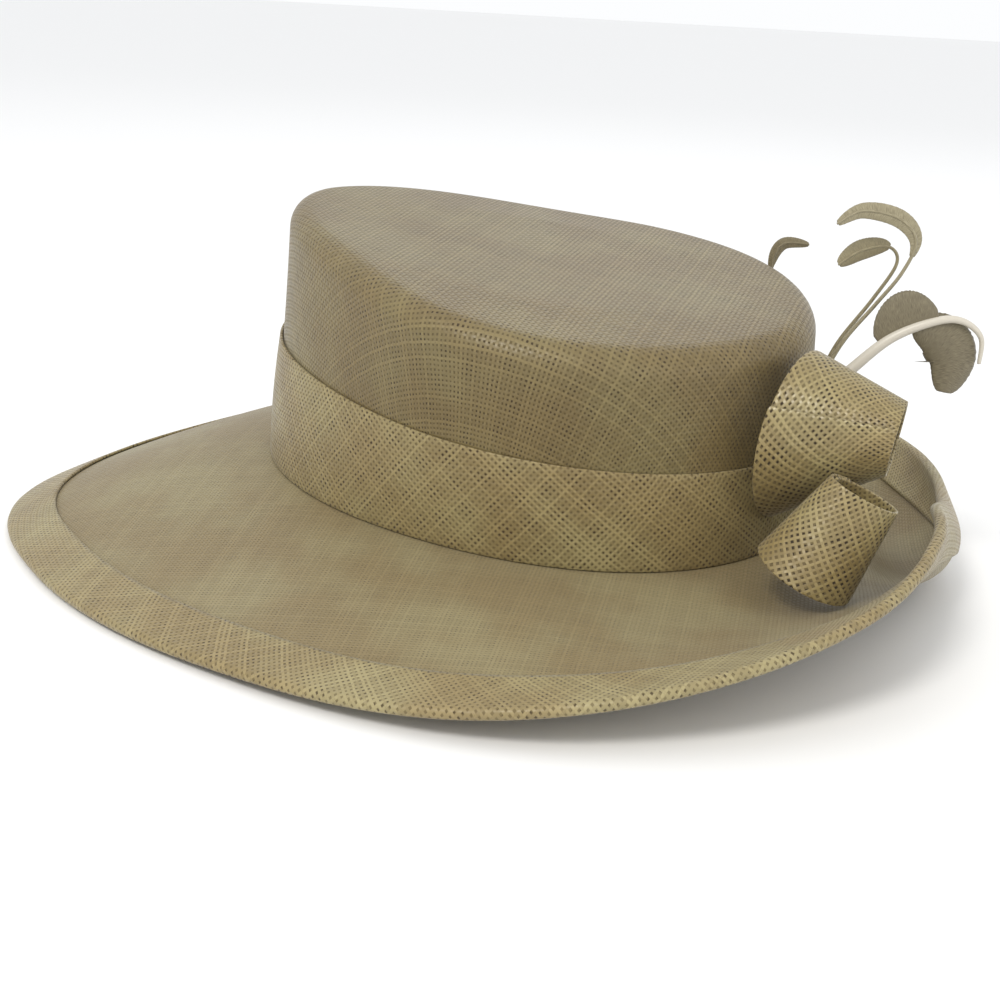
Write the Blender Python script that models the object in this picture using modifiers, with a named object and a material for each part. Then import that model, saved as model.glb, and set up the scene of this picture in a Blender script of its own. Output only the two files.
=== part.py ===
"""Woven straw occasion hat: slanted oval crown, bias band, bound wide brim with a
curled side, two rolled loops and curled feathers. Metres, +Z up."""

import math

import bmesh
import bpy
from mathutils import Matrix, Vector

# Weave walls and the running gap between pieces
STRAW_WALL = 0.0012
BAND_WALL = 0.0010
BINDING_WALL = 0.0010
LOOP_WALL = 0.0010
VANE_WALL = 0.0010
GAP = 0.0003

# Head oval, measured over the crown where it meets the brim
HEAD_LENGTH = 0.198
HEAD_WIDTH = 0.168
HEAD_POWER = 2.16
OVAL_TURN = -29.0

# Crown: its slanted top has a flat middle and a second, slightly egg-shaped oval
# for its edge, which rises a little at two ends and dips between them
TOP_LENGTH = 0.1976
TOP_WIDTH = 0.1646
TOP_POWER = 1.80
TOP_EGG = 0.048
TOP_EGG_TURN = 26.6
TOP_SHIFT = (-0.0006, -0.0024)
CROWN_HEIGHT = 0.0783
TOP_SLOPE = (-0.065, 0.054)
TOP_WAVE = 0.0020
TOP_WAVE_TURN = 5.0
TOP_FLAT_SHARE = 0.6
TOP_EDGE_RADIUS = 0.008
TOP_EDGE_STEPS = 3
SHARP_EDGE = 50.0
COLLAR_HEIGHT = 0.010

# Band round the foot of the crown
BAND_HEIGHT = 0.036
BAND_SLOPE = (-0.052, 0.015)
BAND_BELLY = 0.0008

# Brim, from the crown's foot to the bound edge
BRIM_WIDTH = 0.095
BINDING_TOP_WIDTH = 0.017

# One row for each station round the brim. Azimuth is counted from +X, width is a
# share of BRIM_WIDTH, and the slopes are degrees above the head oval's plane.
BRIM_COLUMNS = ("azimuth", "width", "root_slope", "rim_slope", "bend_start")
BRIM_TABLE = (
    (-180, 1.05, -9, -26, 0.0),
    (-155, 0.98, -8, -19, 0.0),
    (-125, 0.96, -4, -13, 0.0),
    (-95, 1.02, 1, -4, 0.0),
    (-75, 0.98, -3, 17, 0.1),
    (-58, 0.92, 0, 42, 0.3),
    (-42, 0.85, -4, 85, 0.35),
    (-28, 0.84, -14, 135, 0.4),
    (-10, 0.88, -32, 140, 0.4),
    (8, 0.92, -37, 110, 0.4),
    (26, 0.96, -30, 65, 0.4),
    (50, 1.00, -21, 5, 0.2),
    (80, 0.98, -18, -28, 0.0),
    (110, 0.98, -14, -32, 0.0),
    (145, 0.90, -13, -36, 0.0),
)

# Loops: strips rolled into open cones. Across and up are an end's half sizes as
# shares of LOOP_SIZE, seam is where the strip's lap lies.
LOOP_SIZE = 0.029
LOOP_LAP = 0.0020
LOOP_LAP_TURN = 60.0
LOOP_COLUMNS = ("x", "y", "z", "azimuth", "tilt", "across", "up")
UPPER_LOOP = (
    (2.741, -2.172, 1.448, -35, -3, 0.86, 1.00),
    (3.759, -2.759, 1.690, -18, -6, 0.45, 0.43),
)
UPPER_SEAM = 150.0
LOWER_LOOP = (
    (2.879, -3.517, 0.33, -13, 68, 0.53, 0.57),
    (3.400, -3.450, 1.27, 0, 66, 0.27, 0.42),
)
LOWER_SEAM = 20.0

# The lower loop stands on a sloping brim, so its upright gap is this much wider
SLOPE_ALLOWANCE = 1.25

# Feathers: routes are shares of PLUME_REACH from the foot on the crown wall,
# as (across to +X, away to +Y, up)
PLUME_REACH = 0.050
FOOT_HEIGHT = 0.046
QUILL_RADIUS = 0.0022
STEM_RADIUS = 0.0008
ROUTES = {
    "quill": (
        (0.0, 0.0, 0.0), (0.18, 0.0, 0.17), (0.44, 0.0, 0.44), (0.72, 0.0, 0.585),
        (0.90, 0.0, 0.60), (1.04, 0.0, 0.50), (1.06, 0.0, 0.32),
    ),
    "quill_end": (
        (0.60, 0.0, 0.54), (0.775, 0.0, 0.48), (0.886, 0.0, 0.33), (0.865, 0.0, 0.10),
    ),
    "curl": (
        (0.0, 0.0, 0.0), (0.14, 0.02, 0.34), (0.32, 0.02, 0.62), (0.46, 0.0, 0.86),
        (0.51, -0.02, 1.08), (0.38, -0.02, 1.22), (0.14, 0.0, 1.25), (-0.02, 0.0, 1.15),
    ),
    "small": (
        (0.0, 0.0, 0.0), (0.12, 0.05, 0.30), (0.31, 0.06, 0.62), (0.43, 0.05, 0.88),
        (0.36, 0.05, 0.99), (0.18, 0.05, 0.95), (0.04, 0.05, 0.84),
    ),
    "back": (
        (0.0, 0.0, 0.0), (0.04, 0.04, 0.28), (0.02, 0.06, 0.54), (0.09, 0.06, 0.70),
        (0.28, 0.06, 0.71),
    ),
}
FEATHER_COLUMNS = ("name", "foot_azimuth", "route", "radius", "tip_share")
FEATHERS = (
    ("feather_quill", -20.0, "quill", QUILL_RADIUS, 0.3),
    ("feather_curl", -15.5, "curl", STEM_RADIUS, 0.7),
    ("feather_small", -12.0, "small", STEM_RADIUS, 0.7),
    ("feather_back", 25.0, "back", STEM_RADIUS, 0.7),
)

# Vanes: start and end are shares of a route, the two half widths shares of
# PLUME_REACH below and above it, cup how far the edges bow out of the flat
VANE_COLUMNS = ("feather", "route", "start", "end", "below", "above", "cup")
VANES = (
    ("feather_quill", "quill", 0.30, 0.52, 0.03, 0.25, 0.25),
    ("feather_quill", "quill_end", 0.0, 1.0, 0.17, 0.17, 0.25),
    ("feather_curl", "curl", 0.50, 0.99, 0.06, 0.06, 0.15),
    ("feather_small", "small", 0.66, 0.99, 0.07, 0.07, 0.3),
    ("feather_back", "back", 0.45, 0.99, 0.045, 0.045, 0.2),
)
VANE_STEPS = 8
VANE_HALF_STEPS = 2
VANE_BLUNTNESS = 0.6
VANE_END_WIDTH = 0.04

# Mesh steps, and how nearly downward a face must look to be stood on
AROUND = 60
BRIM_STEPS = 9
BINDING_STEPS = 3
FINE_STEPS = 4
LOOP_AROUND = 24
LOOP_ALONG = 4
STEM_STEPS = 4
MERGE_DISTANCE = 0.00002
FOLD_ANGLES = (60.0, 120.0)
DOWNWARD = -0.8

HAT = "straw_hat"


def clear_scene():
    for item in list(bpy.data.objects):
        bpy.data.objects.remove(item, do_unlink=True)


def make_collection(name):
    collection = bpy.data.collections.new(name)
    bpy.context.scene.collection.children.link(collection)
    return collection


def make_material(name, colour, roughness, metallic=0.0):
    material = bpy.data.materials.new(name)
    material.use_nodes = True
    shader = material.node_tree.nodes["Principled BSDF"]
    shader.inputs["Base Color"].default_value = (*colour, 1.0)
    shader.inputs["Roughness"].default_value = roughness
    shader.inputs["Metallic"].default_value = metallic
    material.diffuse_color = (*colour, 1.0)
    return material


def oval_radius(azimuth, length, width, power):
    """Polar radius of a superellipse, turned as the head is, at an azimuth in degrees."""
    turned = math.radians(azimuth - OVAL_TURN)
    along = abs(math.cos(turned)) / (0.5 * length)
    across = abs(math.sin(turned)) / (0.5 * width)
    return (along ** power + across ** power) ** (-1.0 / power)


def outward(azimuth):
    return Vector((math.cos(math.radians(azimuth)), math.sin(math.radians(azimuth)), 0.0))


def foot_point(azimuth, grow=0.0):
    """Point of the crown's foot, moved out by grow."""
    radius = oval_radius(azimuth, HEAD_LENGTH + 2 * grow, HEAD_WIDTH + 2 * grow, HEAD_POWER)
    return outward(azimuth) * radius


def top_height(point):
    """Height of the slanted plane of the crown's top."""
    return CROWN_HEIGHT + TOP_SLOPE[0] * point.x + TOP_SLOPE[1] * point.y


def ridge_point(azimuth, grow=0.0):
    """Point of the sharp edge between crown wall and crown top, moved out by grow."""
    radius = oval_radius(azimuth, TOP_LENGTH + 2 * grow, TOP_WIDTH + 2 * grow, TOP_POWER)
    radius *= 1 + TOP_EGG * math.cos(3 * math.radians(azimuth - TOP_EGG_TURN))
    point = outward(azimuth) * radius + Vector((*TOP_SHIFT, 0.0))
    wave = TOP_WAVE * math.cos(2 * math.radians(azimuth - TOP_WAVE_TURN))
    point.z = top_height(point) + wave
    return point


def wall_point(azimuth, height, grow=0.0):
    """Point of the crown wall at a height, moved out by grow."""
    foot = foot_point(azimuth, grow)
    ridge = ridge_point(azimuth, grow)
    return foot.lerp(ridge, height / ridge.z)


def azimuths():
    return [-180.0 + 360.0 * step / AROUND for step in range(AROUND)]


def station_value(azimuth, column):
    """Smooth periodic value of one column of BRIM_TABLE."""
    field = BRIM_COLUMNS.index(column)
    rows = [(row[0] + turn, row[field]) for turn in (-360, 0, 360) for row in BRIM_TABLE]
    index = max(i for i, row in enumerate(rows) if row[0] <= azimuth)
    before, start, end, after = rows[index - 1:index + 3]
    span = end[0] - start[0]
    part = (azimuth - start[0]) / span
    slope_in = (end[1] - before[1]) / (end[0] - before[0]) * span
    slope_out = (after[1] - start[1]) / (after[0] - start[0]) * span
    square, cube = part ** 2, part ** 3
    return (
        (2 * cube - 3 * square + 1) * start[1]
        + (cube - 2 * square + part) * slope_in
        + (3 * square - 2 * cube) * end[1]
        + (cube - square) * slope_out
    )


def brim_stations(width):
    """Shares of the brim's width at its mesh lines, the last ones under the binding."""
    bound = BINDING_TOP_WIDTH / width
    inner = [(1 - bound) * step / BRIM_STEPS for step in range(BRIM_STEPS)]
    outer = [1 - bound + bound * step / BINDING_STEPS for step in range(BINDING_STEPS + 1)]
    return inner + outer


def brim_spine(azimuth):
    """Middle line of the brim from the crown's foot to its edge at one azimuth."""
    edge_lap = GAP + 0.5 * BINDING_WALL + 0.5 * STRAW_WALL
    width = BRIM_WIDTH * station_value(azimuth, "width") - edge_lap
    root = station_value(azimuth, "root_slope")
    rim = station_value(azimuth, "rim_slope")
    bend = station_value(azimuth, "bend_start")
    point = foot_point(azimuth)
    point.z = -GAP - 0.5 * STRAW_WALL
    points = [point.copy()]
    stations = brim_stations(width)
    for near, far in zip(stations, stations[1:]):
        for part in range(FINE_STEPS):
            share = near + (far - near) * (part + 0.5) / FINE_STEPS
            turned = min(max((share - bend) / (1 - bend), 0.0), 1.0)
            slope = math.radians(root + (rim - root) * turned)
            heading = outward(azimuth) * math.cos(slope) + Vector((0, 0, math.sin(slope)))
            point = point + heading * width * (far - near) / FINE_STEPS
        points.append(point)
    return points


def collar_points(azimuth):
    """Upright edge of the brim inside the crown's foot, top to bottom."""
    inset = STRAW_WALL + GAP + 0.5 * STRAW_WALL
    top = wall_point(azimuth, COLLAR_HEIGHT, -inset)
    corner = foot_point(azimuth, -inset)
    corner.z = -GAP - 0.5 * STRAW_WALL
    return [top, corner]


def loft(name, rows, material, wall, closed=True):
    """Sheet through rows of points, split on short diagonals, with Solidify's thickness."""
    sheet = bmesh.new()
    grid = [[sheet.verts.new(point) for point in row] for row in rows]
    last = len(grid) if closed else len(grid) - 1
    for i in range(last):
        here, ahead = grid[i], grid[(i + 1) % len(grid)]
        for j in range(len(here) - 1):
            corners = (here[j], ahead[j], ahead[j + 1], here[j + 1])
            first = (corners[0].co - corners[2].co).length
            second = (corners[1].co - corners[3].co).length
            if first > second:
                corners = corners[1:] + corners[:1]
            sheet.faces.new(corners[:3])
            sheet.faces.new((corners[0], corners[2], corners[3]))
    bmesh.ops.recalc_face_normals(sheet, faces=sheet.faces)
    piece = add_mesh(name, sheet, material)
    thicken(piece, wall)
    return piece


def add_mesh(name, shape, material):
    mesh = bpy.data.meshes.new(name)
    shape.to_mesh(mesh)
    shape.free()
    mesh.shade_smooth()
    mesh.materials.append(material)
    piece = bpy.data.objects.new(name, mesh)
    hat_parts.objects.link(piece)
    return piece


def thicken(piece, wall):
    solidify = piece.modifiers.new("wall", "SOLIDIFY")
    solidify.thickness = wall
    solidify.offset = 0.0
    solidify.use_even_offset = True


def sheet_normals(rows):
    """Unit normals of a grid of points that is closed over its rows."""
    normals = []
    for i, row in enumerate(rows):
        before, ahead = rows[i - 1], rows[(i + 1) % len(rows)]
        line = []
        for j in range(len(row)):
            along = row[min(j + 1, len(row) - 1)] - row[max(j - 1, 0)]
            line.append(along.cross(before[j] - ahead[j]).normalized())
        normals.append(line)
    return normals


def build_crown(material):
    """Open shell: slanted top, rounded edge and nearly upright wall."""
    shell = bmesh.new()
    inset = -0.5 * STRAW_WALL
    middle = Vector((*TOP_SHIFT, 0.0))
    levels = [[], [], [], []]
    for azimuth in azimuths():
        foot, ridge = foot_point(azimuth, inset), ridge_point(azimuth, inset)
        flat = middle.lerp(ridge, TOP_FLAT_SHARE)
        flat.z = top_height(flat)
        for level, point in zip(levels, (foot, foot.lerp(ridge, 0.5), ridge, flat)):
            level.append(shell.verts.new(point))
    for low, high in zip(levels, levels[1:]):
        for i in range(AROUND):
            j = (i + 1) % AROUND
            shell.faces.new((low[i], low[j], high[j], high[i]))
    shell.faces.new(levels[-1])
    bmesh.ops.recalc_face_normals(shell, faces=shell.faces)
    crown = add_mesh("crown", shell, material)
    edge = crown.modifiers.new("edge", "BEVEL")
    edge.width = TOP_EDGE_RADIUS
    edge.segments = TOP_EDGE_STEPS
    edge.limit_method = "ANGLE"
    edge.angle_limit = math.radians(SHARP_EDGE)
    thicken(crown, STRAW_WALL)
    return crown


def build_brim(material):
    rows = [collar_points(azimuth) + brim_spine(azimuth) for azimuth in azimuths()]
    return loft("brim", rows, material, STRAW_WALL)


def build_binding(material):
    """Folded strip over the brim's edge, a gap away from both of its sides."""
    rows = [brim_spine(azimuth) for azimuth in azimuths()]
    lift = 0.5 * STRAW_WALL + GAP + 0.5 * BINDING_WALL
    binding = []
    for row, line in zip(rows, sheet_normals(rows)):
        end = (row[-1] - row[-2]).normalized()
        top = [row[-1 - j] + line[-1 - j] * lift for j in range(BINDING_STEPS, -1, -1)]
        fold = [
            row[-1] + (line[-1] * math.cos(angle) + end * math.sin(angle)) * lift
            for angle in map(math.radians, FOLD_ANGLES)
        ]
        below = [row[-1 - j] - line[-1 - j] * lift for j in range(BINDING_STEPS)]
        binding.append(top + fold + below)
    return loft("brim_binding", binding, material, BINDING_WALL)


def band_top(point):
    return BAND_HEIGHT + BAND_SLOPE[0] * point.x + BAND_SLOPE[1] * point.y


def build_band(material):
    """Bias strip round the crown's foot with a slight belly."""
    off = GAP + 0.5 * BAND_WALL
    rows = []
    for azimuth in azimuths():
        height = band_top(foot_point(azimuth))
        row = []
        for share in (0.0, 0.5, 1.0):
            belly = BAND_BELLY * math.sin(math.pi * share)
            row.append(wall_point(azimuth, height * share, off + belly))
        rows.append(row)
    return loft("hat_band", rows, material, BAND_WALL)


def loop_end(row):
    """Centre, across vector and up vector of one open end of a loop."""
    values = dict(zip(LOOP_COLUMNS, row))
    centre = Vector((values["x"], values["y"], values["z"])) * LOOP_SIZE
    turn = math.radians(values["azimuth"])
    tilt = math.radians(values["tilt"])
    normal = Vector((
        math.cos(turn) * math.cos(tilt),
        math.sin(turn) * math.cos(tilt),
        math.sin(tilt),
    ))
    across = Vector((-math.sin(turn), math.cos(turn), 0.0))
    up = normal.cross(across)
    return centre, across, up, values["across"] * LOOP_SIZE, values["up"] * LOOP_SIZE


def roll_points(ends, seam):
    """Strip wound once round between two open ends, its lap lying inside."""
    sweep = 360.0 + LOOP_LAP_TURN
    start, finish = loop_end(ends[0]), loop_end(ends[1])
    rows = []
    for i in range(LOOP_AROUND + 1):
        share = i / LOOP_AROUND
        angle = math.radians(seam + sweep * share)
        line = []
        for centre, across, up, wide, high in (start, finish):
            wide -= LOOP_LAP * share
            high -= LOOP_LAP * share
            line.append(centre + across * wide * math.cos(angle) + up * high * math.sin(angle))
        near, far = line
        rows.append([near.lerp(far, j / LOOP_ALONG) for j in range(LOOP_ALONG + 1)])
    return rows


def moved(rows, shift):
    return [[point + shift for point in row] for row in rows]


def azimuth_of(point):
    return math.degrees(math.atan2(point.y, point.x))


def wall_clearance(point):
    """Distance from a point to the band's or crown's outer face, along the radius."""
    azimuth = azimuth_of(point)
    height = max(point.z, 0.0)
    grow = 0.0
    if height < band_top(foot_point(azimuth)) + GAP:
        grow = GAP + BAND_WALL + BAND_BELLY
    face = wall_point(azimuth, height, grow)
    return point.xy.length - face.xy.length


def brim_height(point):
    """Height of the brim's middle line under a point, on its first pass outwards."""
    radius = point.xy.length
    spine = brim_spine(azimuth_of(point))
    for low, high in zip(spine, spine[1:]):
        near, far = low.xy.length, high.xy.length
        if near <= radius <= far:
            return low.lerp(high, (radius - near) / (far - near)).z
    return spine[0].z if radius < spine[0].xy.length else min(point.z for point in spine)


def build_upper_loop(material):
    """Wide cone whose open mouth rests against the band and the crown wall."""
    rows = roll_points(UPPER_LOOP, UPPER_SEAM)
    wanted = GAP + 0.5 * LOOP_WALL
    spare = min(wall_clearance(point) for row in rows for point in row) - wanted
    push = outward(UPPER_LOOP[0][3]) * -spare
    return loft("loop_upper", moved(rows, push), material, LOOP_WALL, closed=False)


def build_lower_loop(material):
    """Small roll that stands on the brim in front of the wide loop."""
    rows = roll_points(LOWER_LOOP, LOWER_SEAM)
    wanted = GAP + 0.5 * (LOOP_WALL + STRAW_WALL)
    spare = min(point.z - brim_height(point) for row in rows for point in row)
    drop = Vector((0.0, 0.0, wanted * SLOPE_ALLOWANCE - spare))
    return loft("loop_lower", moved(rows, drop), material, LOOP_WALL, closed=False)


def route_point(points, share):
    """Point on a smooth curve through a route's points, share 0 to 1."""
    scaled = share * (len(points) - 1)
    index = min(int(scaled), len(points) - 2)
    part = scaled - index
    start, end = points[index], points[index + 1]
    before = points[max(index - 1, 0)]
    after = points[min(index + 2, len(points) - 1)]
    leave, arrive = (end - before) * 0.5, (after - start) * 0.5
    square, cube = part ** 2, part ** 3
    return (
        start * (2 * cube - 3 * square + 1)
        + leave * (cube - 2 * square + part)
        + end * (3 * square - 2 * cube)
        + arrive * (cube - square)
    )


def stem_body(name, points, radius, tip_share, steps, material):
    """Tapering round stem along a route, as a closed mesh."""
    curve = bpy.data.curves.new(name, "CURVE")
    curve.dimensions = "3D"
    curve.bevel_depth = radius
    curve.bevel_resolution = 1
    curve.use_fill_caps = True
    spline = curve.splines.new("POLY")
    spline.points.add(steps)
    for i in range(steps + 1):
        share = i / steps
        spline.points[i].co = (*route_point(points, share), 1.0)
        spline.points[i].radius = 1.0 + (tip_share - 1.0) * share
    wire = bpy.data.objects.new(name + "_wire", curve)
    hat_parts.objects.link(wire)
    view = bpy.context.evaluated_depsgraph_get()
    mesh = bpy.data.meshes.new_from_object(wire.evaluated_get(view))
    bpy.data.objects.remove(wire, do_unlink=True)
    shape = bmesh.new()
    shape.from_mesh(mesh)
    bmesh.ops.remove_doubles(shape, verts=shape.verts, dist=MERGE_DISTANCE)
    bmesh.ops.recalc_face_normals(shape, faces=shape.faces)
    return add_mesh(name, shape, material)


def vane_sheet(name, points, vane, material):
    """Leaf-shaped sheet on both sides of a stretch of a route."""
    rows = []
    for i in range(VANE_STEPS + 1):
        share = i / VANE_STEPS
        at = vane["start"] + (vane["end"] - vane["start"]) * share
        centre = route_point(points, at)
        step = 0.02
        ahead = route_point(points, min(at + step, 1.0)) - route_point(points, max(at - step, 0.0))
        side = ahead.cross(Vector((0.0, 1.0, 0.0))).normalized()
        face = side.cross(ahead).normalized()
        swell = math.sin(math.pi * (VANE_END_WIDTH + (1 - 2 * VANE_END_WIDTH) * share))
        fullness = swell ** VANE_BLUNTNESS * PLUME_REACH
        row = []
        for j in range(-VANE_HALF_STEPS, VANE_HALF_STEPS + 1):
            reach = j / VANE_HALF_STEPS
            width = fullness * (vane["below"] if reach < 0 else vane["above"])
            bow = face * vane["cup"] * width * reach ** 2
            row.append(centre + side * reach * width + bow)
        rows.append(row)
    return loft(name, rows, material, VANE_WALL, closed=False)


def fuse(piece, others):
    """Boolean union of a stem and its vanes into one closed body."""
    for other in others:
        union = piece.modifiers.new("fuse", "BOOLEAN")
        union.operation = "UNION"
        union.object = other
        other.hide_render = True
        other.display_type = "WIRE"
        hat_parts.objects.unlink(other)
        cutters.objects.link(other)


def build_feather(feather, material):
    """Stem from the crown wall along its route, fused with its vanes."""
    name, radius = feather["name"], feather["radius"]
    start = Vector(ROUTES[feather["route"]][1]).normalized()
    reach = radius * start.cross(outward(feather["foot_azimuth"])).length
    foot = wall_point(feather["foot_azimuth"], FOOT_HEIGHT, GAP + reach)
    routes = {
        key: [foot + Vector(step) * PLUME_REACH for step in route]
        for key, route in ROUTES.items()
    }
    points = routes[feather["route"]]
    steps = STEM_STEPS * len(points)
    stem = stem_body(name, points, radius, feather["tip_share"], steps, material)
    vanes = [dict(zip(VANE_COLUMNS, row)) for row in VANES if row[0] == name]
    leaves = [
        vane_sheet(f"{name}_leaf_{number}", routes[vane["route"]], vane, material)
        for number, vane in enumerate(vanes)
    ]
    fuse(stem, leaves)


def build_feathers(material):
    for row in FEATHERS:
        build_feather(dict(zip(FEATHER_COLUMNS, row)), material)


def solid_mesh(piece):
    """World-space triangles of a piece after its modifiers."""
    view = bpy.context.evaluated_depsgraph_get()
    shape = bmesh.new()
    shape.from_object(piece, view)
    bmesh.ops.triangulate(shape, faces=shape.faces)
    return shape


def weight_centre(pieces):
    """Centre of the pieces' volume."""
    total, moment = 0.0, Vector()
    for piece in pieces:
        shape = solid_mesh(piece)
        for face in shape.faces:
            a, b, c = (vert.co for vert in face.verts)
            volume = a.dot(b.cross(c)) / 6
            total += volume
            moment += volume * (a + b + c) / 4
        shape.free()
    return moment / total


def resting_matrix(pieces):
    """Turn and lift that set the hat down on the brim points it stands on."""
    centre = weight_centre(pieces)
    hull = bmesh.new()
    for piece in pieces:
        shape = solid_mesh(piece)
        for vert in shape.verts:
            hull.verts.new(vert.co)
        shape.free()
    result = bmesh.ops.convex_hull(hull, input=hull.verts)
    faces = [item for item in result["geom"] if isinstance(item, bmesh.types.BMFace)]
    best = None
    for face in faces:
        normal = face.normal
        if normal.z > DOWNWARD:
            continue
        foot = centre - normal * (centre - face.verts[0].co).dot(normal)
        inside = all(
            (loop.link_loop_next.vert.co - loop.vert.co)
            .cross(foot - loop.vert.co).dot(normal) >= 0
            for loop in face.loops
        )
        if inside:
            best = (normal.copy(), face.verts[0].co.copy())
    hull.free()
    normal, point = best
    turn = normal.rotation_difference(Vector((0, 0, -1))).to_matrix().to_4x4()
    return Matrix.Translation((0, 0, -(turn @ point).z)) @ turn


def centring_matrix(pieces, rest):
    """Shift that puts the origin under the middle of the hat's box."""
    corners = []
    for piece in pieces:
        shape = solid_mesh(piece)
        corners.extend(rest @ vert.co for vert in shape.verts)
        shape.free()
    middle = [0.5 * (min(c[k] for c in corners) + max(c[k] for c in corners)) for k in (0, 1)]
    return Matrix.Translation((-middle[0], -middle[1], 0.0)) @ rest


def build_hat():
    straw = make_material("straw", (0.27, 0.23, 0.12), 0.5)
    brim_straw = make_material("brim_straw", (0.30, 0.26, 0.14), 0.55)
    band_straw = make_material("band_straw", (0.31, 0.25, 0.12), 0.45)
    binding_straw = make_material("binding_straw", (0.36, 0.31, 0.16), 0.45)
    loop_straw = make_material("loop_straw", (0.38, 0.33, 0.18), 0.4)
    feather = make_material("feather", (0.20, 0.17, 0.10), 0.6)
    build_crown(straw)
    build_brim(brim_straw)
    build_band(band_straw)
    build_binding(binding_straw)
    build_upper_loop(loop_straw)
    build_lower_loop(loop_straw)
    build_feathers(feather)
    bpy.context.view_layer.update()
    pieces = list(hat_parts.objects)
    placed = centring_matrix(pieces, resting_matrix(pieces))
    rest = bpy.data.objects.new("hat_rest", None)
    hat_parts.objects.link(rest)
    rest.matrix_world = placed
    for piece in pieces + list(cutters.objects):
        piece.parent = rest
    bpy.context.view_layer.update()


clear_scene()
hat_parts = make_collection(HAT)
cutters = make_collection("joining_shapes")
build_hat()
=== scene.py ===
"""The straw occasion hat dressed for a studio picture: fine woven sheets, bound edges
and feathers over the solids of the part. Metres, +Z up."""

import math

import bmesh
import bpy
from mathutils import Euler, Matrix, Vector


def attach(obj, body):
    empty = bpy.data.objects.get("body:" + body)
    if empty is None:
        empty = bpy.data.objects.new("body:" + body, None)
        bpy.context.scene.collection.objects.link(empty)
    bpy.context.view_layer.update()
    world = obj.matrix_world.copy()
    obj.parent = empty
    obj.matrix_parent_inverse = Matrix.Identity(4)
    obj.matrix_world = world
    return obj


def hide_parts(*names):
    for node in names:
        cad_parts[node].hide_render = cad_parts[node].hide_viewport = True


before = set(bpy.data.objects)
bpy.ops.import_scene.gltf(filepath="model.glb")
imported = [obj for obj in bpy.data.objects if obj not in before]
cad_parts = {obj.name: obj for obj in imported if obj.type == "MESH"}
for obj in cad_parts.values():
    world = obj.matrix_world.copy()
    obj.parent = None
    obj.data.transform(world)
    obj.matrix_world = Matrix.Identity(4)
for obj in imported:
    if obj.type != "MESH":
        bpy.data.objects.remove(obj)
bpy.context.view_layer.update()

# Where the hat's own frame lies when it rests on its brim: tilt and then shift
REST_ROWS = (
    (0.999755, 0.000959, 0.022116),
    (0.000959, 0.996249, -0.086525),
    (-0.022116, 0.086525, 0.996004),
)
REST_SHIFT = (0.018945, 0.003564, 0.027824)

# Walls and the running gap
STRAW_WALL = 0.0012
BAND_WALL = 0.0010
BINDING_WALL = 0.0010
LOOP_WALL = 0.0010
GAP = 0.0003

# Head oval and crown
HEAD_LENGTH = 0.198
HEAD_WIDTH = 0.168
HEAD_POWER = 2.16
OVAL_TURN = -29.0
TOP_LENGTH = 0.1976
TOP_WIDTH = 0.1646
TOP_POWER = 1.80
TOP_EGG = 0.048
TOP_EGG_TURN = 26.6
TOP_SHIFT = (-0.0006, -0.0024)
CROWN_HEIGHT = 0.0783
TOP_SLOPE = (-0.065, 0.054)
TOP_WAVE = 0.0020
TOP_WAVE_TURN = 5.0
TOP_FLAT_SHARE = 0.6
TOP_EDGE_RADIUS = 0.008
COLLAR_HEIGHT = 0.010

# Band
BAND_HEIGHT = 0.036
BAND_SLOPE = (-0.052, 0.015)
BAND_BELLY = 0.0008

# Brim
BRIM_WIDTH = 0.095
BINDING_TOP_WIDTH = 0.017
BRIM_COLUMNS = ("azimuth", "width", "root_slope", "rim_slope", "bend_start")
BRIM_TABLE = (
    (-180, 1.05, -9, -26, 0.0),
    (-155, 0.98, -8, -19, 0.0),
    (-125, 0.96, -4, -13, 0.0),
    (-95, 1.02, 1, -4, 0.0),
    (-75, 0.98, -3, 17, 0.1),
    (-58, 0.92, 0, 42, 0.3),
    (-42, 0.85, -4, 85, 0.35),
    (-28, 0.84, -14, 135, 0.4),
    (-10, 0.88, -32, 140, 0.4),
    (8, 0.92, -37, 110, 0.4),
    (26, 0.96, -30, 65, 0.4),
    (50, 1.00, -21, 5, 0.2),
    (80, 0.98, -18, -28, 0.0),
    (110, 0.98, -14, -32, 0.0),
    (145, 0.90, -13, -36, 0.0),
)

# Loops
LOOP_SIZE = 0.029
LOOP_LAP = 0.0020
LOOP_LAP_TURN = 60.0
LOOP_COLUMNS = ("x", "y", "z", "azimuth", "tilt", "across", "up")
UPPER_LOOP = (
    (2.741, -2.172, 1.448, -35, -3, 0.86, 1.00),
    (3.759, -2.759, 1.690, -18, -6, 0.45, 0.43),
)
UPPER_SEAM = 150.0
LOWER_LOOP = (
    (2.879, -3.517, 0.33, -13, 68, 0.53, 0.57),
    (3.400, -3.450, 1.27, 0, 66, 0.27, 0.42),
)
LOWER_SEAM = 20.0
SLOPE_ALLOWANCE = 1.25

# Mesh steps; those of the brim's spine are the part's own, so the sheets agree
AROUND = 360
BRIM_STEPS = 9
BINDING_STEPS = 3
SPINE_STEPS = 4
BOUND_POINTS = BINDING_STEPS * SPINE_STEPS
FOLD_STEPS = 6
WALL_STEPS = 20
EDGE_STEPS = 8
RIM_STEPS = 8
FLAT_STEPS = 16
FLAT_HEART = 0.02
BAND_ROWS = 14
LOOP_AROUND = 120
LOOP_ALONG = 36
COARSE_AROUND = 24
COARSE_ALONG = 4
HEM_RADIUS = 0.0003
HEM_ANGLE = 60.0
HEM_SEGMENTS = 2
COLLAR_WEAVE = (0.012, 0.002)

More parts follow.
